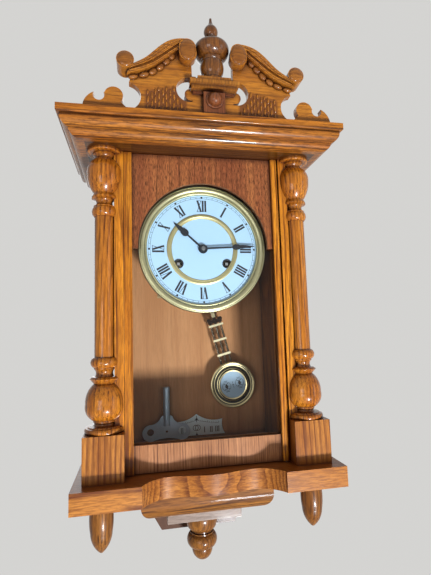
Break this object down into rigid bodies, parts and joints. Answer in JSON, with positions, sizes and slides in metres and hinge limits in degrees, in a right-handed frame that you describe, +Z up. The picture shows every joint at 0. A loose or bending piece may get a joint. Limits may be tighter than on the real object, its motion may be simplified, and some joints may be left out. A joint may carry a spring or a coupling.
{
  "type": "wall clock",
  "caption": "Spring-driven striking wall clock in a carved, glazed oak case with turned columns, moulded cornice, swan-neck crest, round dial and pendulum.",
  "frame": {"origin": "centre of the hanger hole in the wall plane", "axes": "+Z up, +X to the right of someone facing the clock, +Y into the wall, so the front faces -Y"},
  "size_m": [0.3242, 0.1836, 0.6589],
  "materials": {
    "golden_oak": "varnished, satin",
    "red_oak": "varnished, satin",
    "dark_walnut": "varnished, gloss",
    "back_oak": "plain",
    "brass": "lacquered, satin",
    "steel": "satin",
    "dark_steel": "blued",
    "bronzed_steel": "bronzed",
    "dial_white": "enamelled, gloss",
    "glass": "clear",
    "iron": "painted"
  },
  "bodies": {
    "clock_case": {"back_board": "back_oak", "side_panels": "golden_oak", "front_posts": "golden_oak", "case_floor": "back_oak", "hanger_plate": "steel", "cornice_boards": "golden_oak", "cornice_moulding": "golden_oak", "crest_board": "dark_walnut", "swan_necks": "dark_walnut", "crest_pedestal": "dark_walnut", "urn_finial": "dark_walnut", "columns": "golden_oak", "plinths": "golden_oak", "base_board": "golden_oak", "apron_board": "golden_oak", "drop_block": "golden_oak", "turned_drops": "golden_oak", "magnetic_catch": "dark_steel", "dial_plate": "dial_white", "dial_bezel": "brass", "dial_inner_ring": "brass", "movement_front_plate": "brass", "movement_back_plate": "brass", "movement_pillars": "steel", "movement_brackets": "steel", "gong": "iron", "back_cock": "brass", "beat_scale": "dial_white"},
    "door": {"door_stiles": "golden_oak", "door_rails": "golden_oak", "door_top_panel": "red_oak", "door_glass": "glass", "door_glass_beads": "back_oak", "door_pivot_pins": "steel", "catch_strike": "steel"},
    "minute_hand_and_centre_wheel": {"centre_arbor": "brass", "cannon_pinion": "brass", "minute_hand": "dark_steel", "hand_nut": "dark_steel"},
    "motion_wheel": {"minute_wheel": "brass"},
    "hour_hand_and_wheel": {"hour_wheel": "brass", "hour_hand": "dark_steel"},
    "time_spring_barrel": {"time_barrel": "brass"},
    "time_winding_square": {"time_winding_arbor": "steel"},
    "third_wheel": {"third_wheel": "brass"},
    "escape_wheel": {"escape_wheel": "brass"},
    "strike_spring_barrel": {"strike_barrel": "brass"},
    "strike_winding_square": {"strike_winding_arbor": "steel"},
    "strike_wheel": {"strike_wheel": "brass"},
    "fly": {"fly": "brass"},
    "hammer": {"hammer": "steel"},
    "anchor": {"anchor_and_crutch": "steel"},
    "pendulum": {"pendulum_hanger": "brass", "pendulum_rods": "bronzed_steel", "pendulum_bars": "brass"},
    "bob": {"pendulum_bob": "brass", "bob_face": "dial_white"},
    "rating_nut": {"rating_nut": "brass"},
    "winding_key": {"winding_key": "steel"}
  },
  "joints": [
    {"name": "door_swing", "type": "hinge", "parent": "clock_case", "child": "door", "pos_m": [0.0903, -0.1276, -0.15], "axis": [0, 0, 1], "range_deg": [0, 90]},
    {"name": "minute_hand_turn", "type": "hinge", "parent": "clock_case", "child": "minute_hand_and_centre_wheel", "pos_m": [0, -0.085, -0.1], "axis": [0, 1, 0], "continuous": true},
    {"name": "motion_wheel_turn", "type": "hinge", "parent": "clock_case", "child": "motion_wheel", "pos_m": [0.00864, -0.085, -0.11152], "axis": [0, 1, 0], "continuous": true},
    {"name": "hour_hand_turn", "type": "hinge", "parent": "clock_case", "child": "hour_hand_and_wheel", "pos_m": [0, -0.085, -0.1], "axis": [0, 1, 0], "continuous": true},
    {"name": "time_barrel_turn", "type": "hinge", "parent": "clock_case", "child": "time_spring_barrel", "pos_m": [0.03, -0.085, -0.118], "axis": [0, 1, 0], "continuous": true},
    {"name": "third_wheel_turn", "type": "hinge", "parent": "clock_case", "child": "third_wheel", "pos_m": [-0.01237, -0.085, -0.08493], "axis": [0, 1, 0], "continuous": true},
    {"name": "escape_wheel_turn", "type": "hinge", "parent": "clock_case", "child": "escape_wheel", "pos_m": [-0.0116, -0.085, -0.0701], "axis": [0, 1, 0], "continuous": true},
    {"name": "time_winding_turn", "type": "hinge", "parent": "clock_case", "child": "time_winding_square", "pos_m": [0.03, -0.085, -0.118], "axis": [0, 1, 0], "continuous": true},
    {"name": "strike_barrel_turn", "type": "hinge", "parent": "clock_case", "child": "strike_spring_barrel", "pos_m": [-0.03, -0.085, -0.118], "axis": [0, 1, 0], "continuous": true},
    {"name": "strike_wheel_turn", "type": "hinge", "parent": "clock_case", "child": "strike_wheel", "pos_m": [-0.0379, -0.085, -0.0807], "axis": [0, 1, 0], "continuous": true},
    {"name": "fly_turn", "type": "hinge", "parent": "clock_case", "child": "fly", "pos_m": [-0.0421, -0.085, -0.0665], "axis": [0, 1, 0], "continuous": true},
    {"name": "strike_winding_turn", "type": "hinge", "parent": "clock_case", "child": "strike_winding_square", "pos_m": [-0.03, -0.085, -0.118], "axis": [0, 1, 0], "continuous": true},
    {"name": "hammer_lift", "type": "hinge", "parent": "clock_case", "child": "hammer", "pos_m": [0.044, -0.06, -0.07], "axis": [0, -1, 0], "range_deg": [0, 12]},
    {"name": "pendulum_swing", "type": "hinge", "parent": "clock_case", "child": "pendulum", "pos_m": [0, -0.036, -0.0816], "axis": [0, 1, 0], "range_deg": [0, 28.6]},
    {"name": "anchor_rock", "type": "hinge", "parent": "clock_case", "child": "anchor", "pos_m": [0, -0.058, -0.0816], "axis": [0, 1, 0], "range_deg": [0, 28.6]},
    {"name": "bob_slide", "type": "slide", "parent": "pendulum", "child": "bob", "axis": [0.247, 0, -0.969], "range_m": [-0.0015, 0.0015]},
    {"name": "rating_nut_turn", "type": "hinge", "parent": "bob", "child": "rating_nut", "pos_m": [0.05508, -0.036, -0.29769], "axis": [0.247, 0, -0.969], "range_deg": [-1081, 1081]},
    {"name": "key_lift", "type": "slide", "parent": "clock_case", "child": "winding_key", "axis": [0, 0, 1], "range_m": [0, 0.025]}
  ],
  "couplings": [
    {"joint": "motion_wheel_turn", "follows": "minute_hand_turn", "ratio": -0.33333},
    {"joint": "hour_hand_turn", "follows": "minute_hand_turn", "ratio": 0.083333},
    {"joint": "time_barrel_turn", "follows": "minute_hand_turn", "ratio": -0.083333},
    {"joint": "third_wheel_turn", "follows": "minute_hand_turn", "ratio": -12},
    {"joint": "escape_wheel_turn", "follows": "minute_hand_turn", "ratio": 120},
    {"joint": "strike_wheel_turn", "follows": "strike_barrel_turn", "ratio": -5.5385},
    {"joint": "fly_turn", "follows": "strike_barrel_turn", "ratio": 55.385},
    {"joint": "anchor_rock", "follows": "pendulum_swing", "ratio": 1},
    {"joint": "rating_nut_turn", "follows": "bob_slide", "rad_per_m": 12566}
  ]
}
